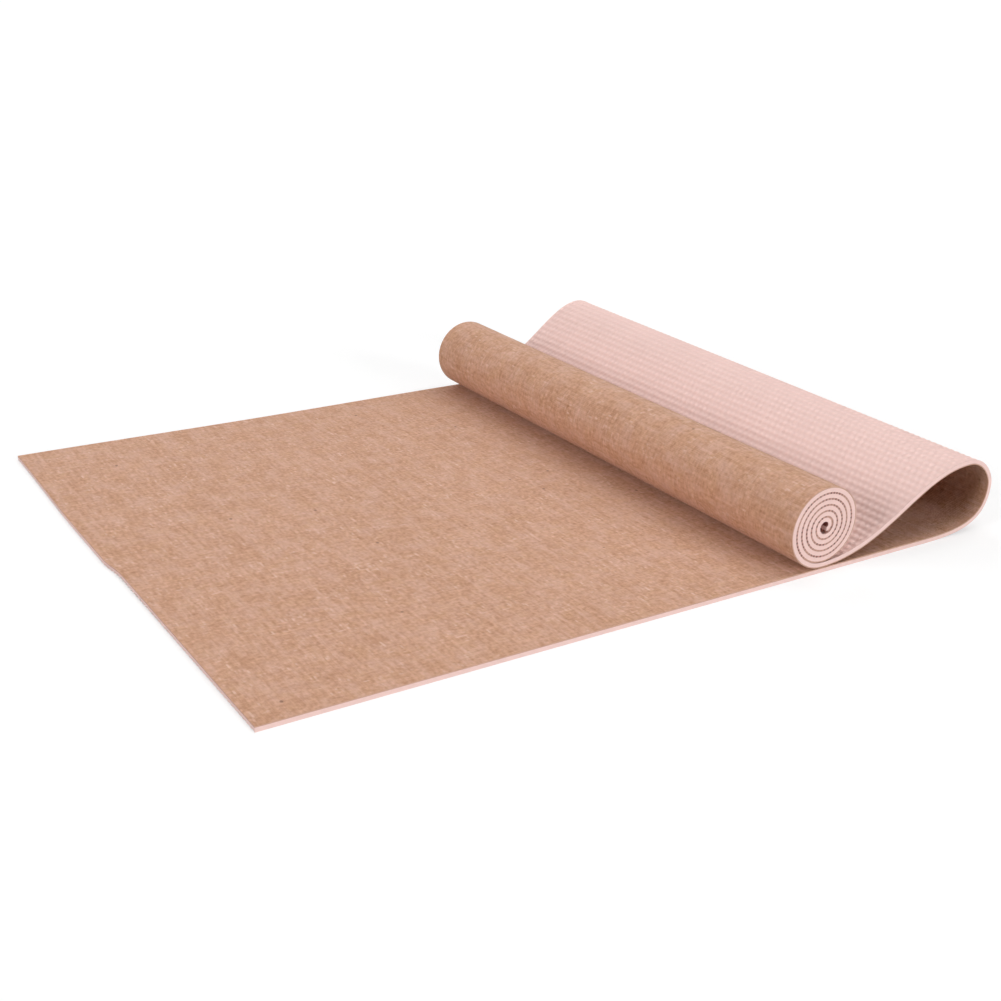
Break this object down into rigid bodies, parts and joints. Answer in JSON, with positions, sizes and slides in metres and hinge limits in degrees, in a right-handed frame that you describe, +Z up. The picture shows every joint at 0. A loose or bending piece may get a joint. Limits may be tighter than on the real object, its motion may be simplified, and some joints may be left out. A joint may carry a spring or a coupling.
{
  "type": "yoga mat",
  "caption": "Half unrolled exercise mat: foam base cast round a scrim, with a woven jute face, laid flat, looped back over itself and wound into a roll resting on it.",
  "frame": {"origin": "on the floor, at the middle of the bounding box of the mat as it lies half unrolled", "axes": "+X along the mat from its flat square end to the loop, +Y across it to the far edge, where the loop stands higher, +Z up"},
  "size_m": [0.7628, 0.6102, 0.09],
  "materials": {
    "foam": "matte, embossed with a fine waffle grain",
    "scrim": "open net of fine spun yarn",
    "jute": "coarse plain weave, undyed"
  },
  "bodies": {
    "root": {"foam_base": "foam", "scrim": "scrim", "jute_face": "jute"}
  },
  "joints": []
}
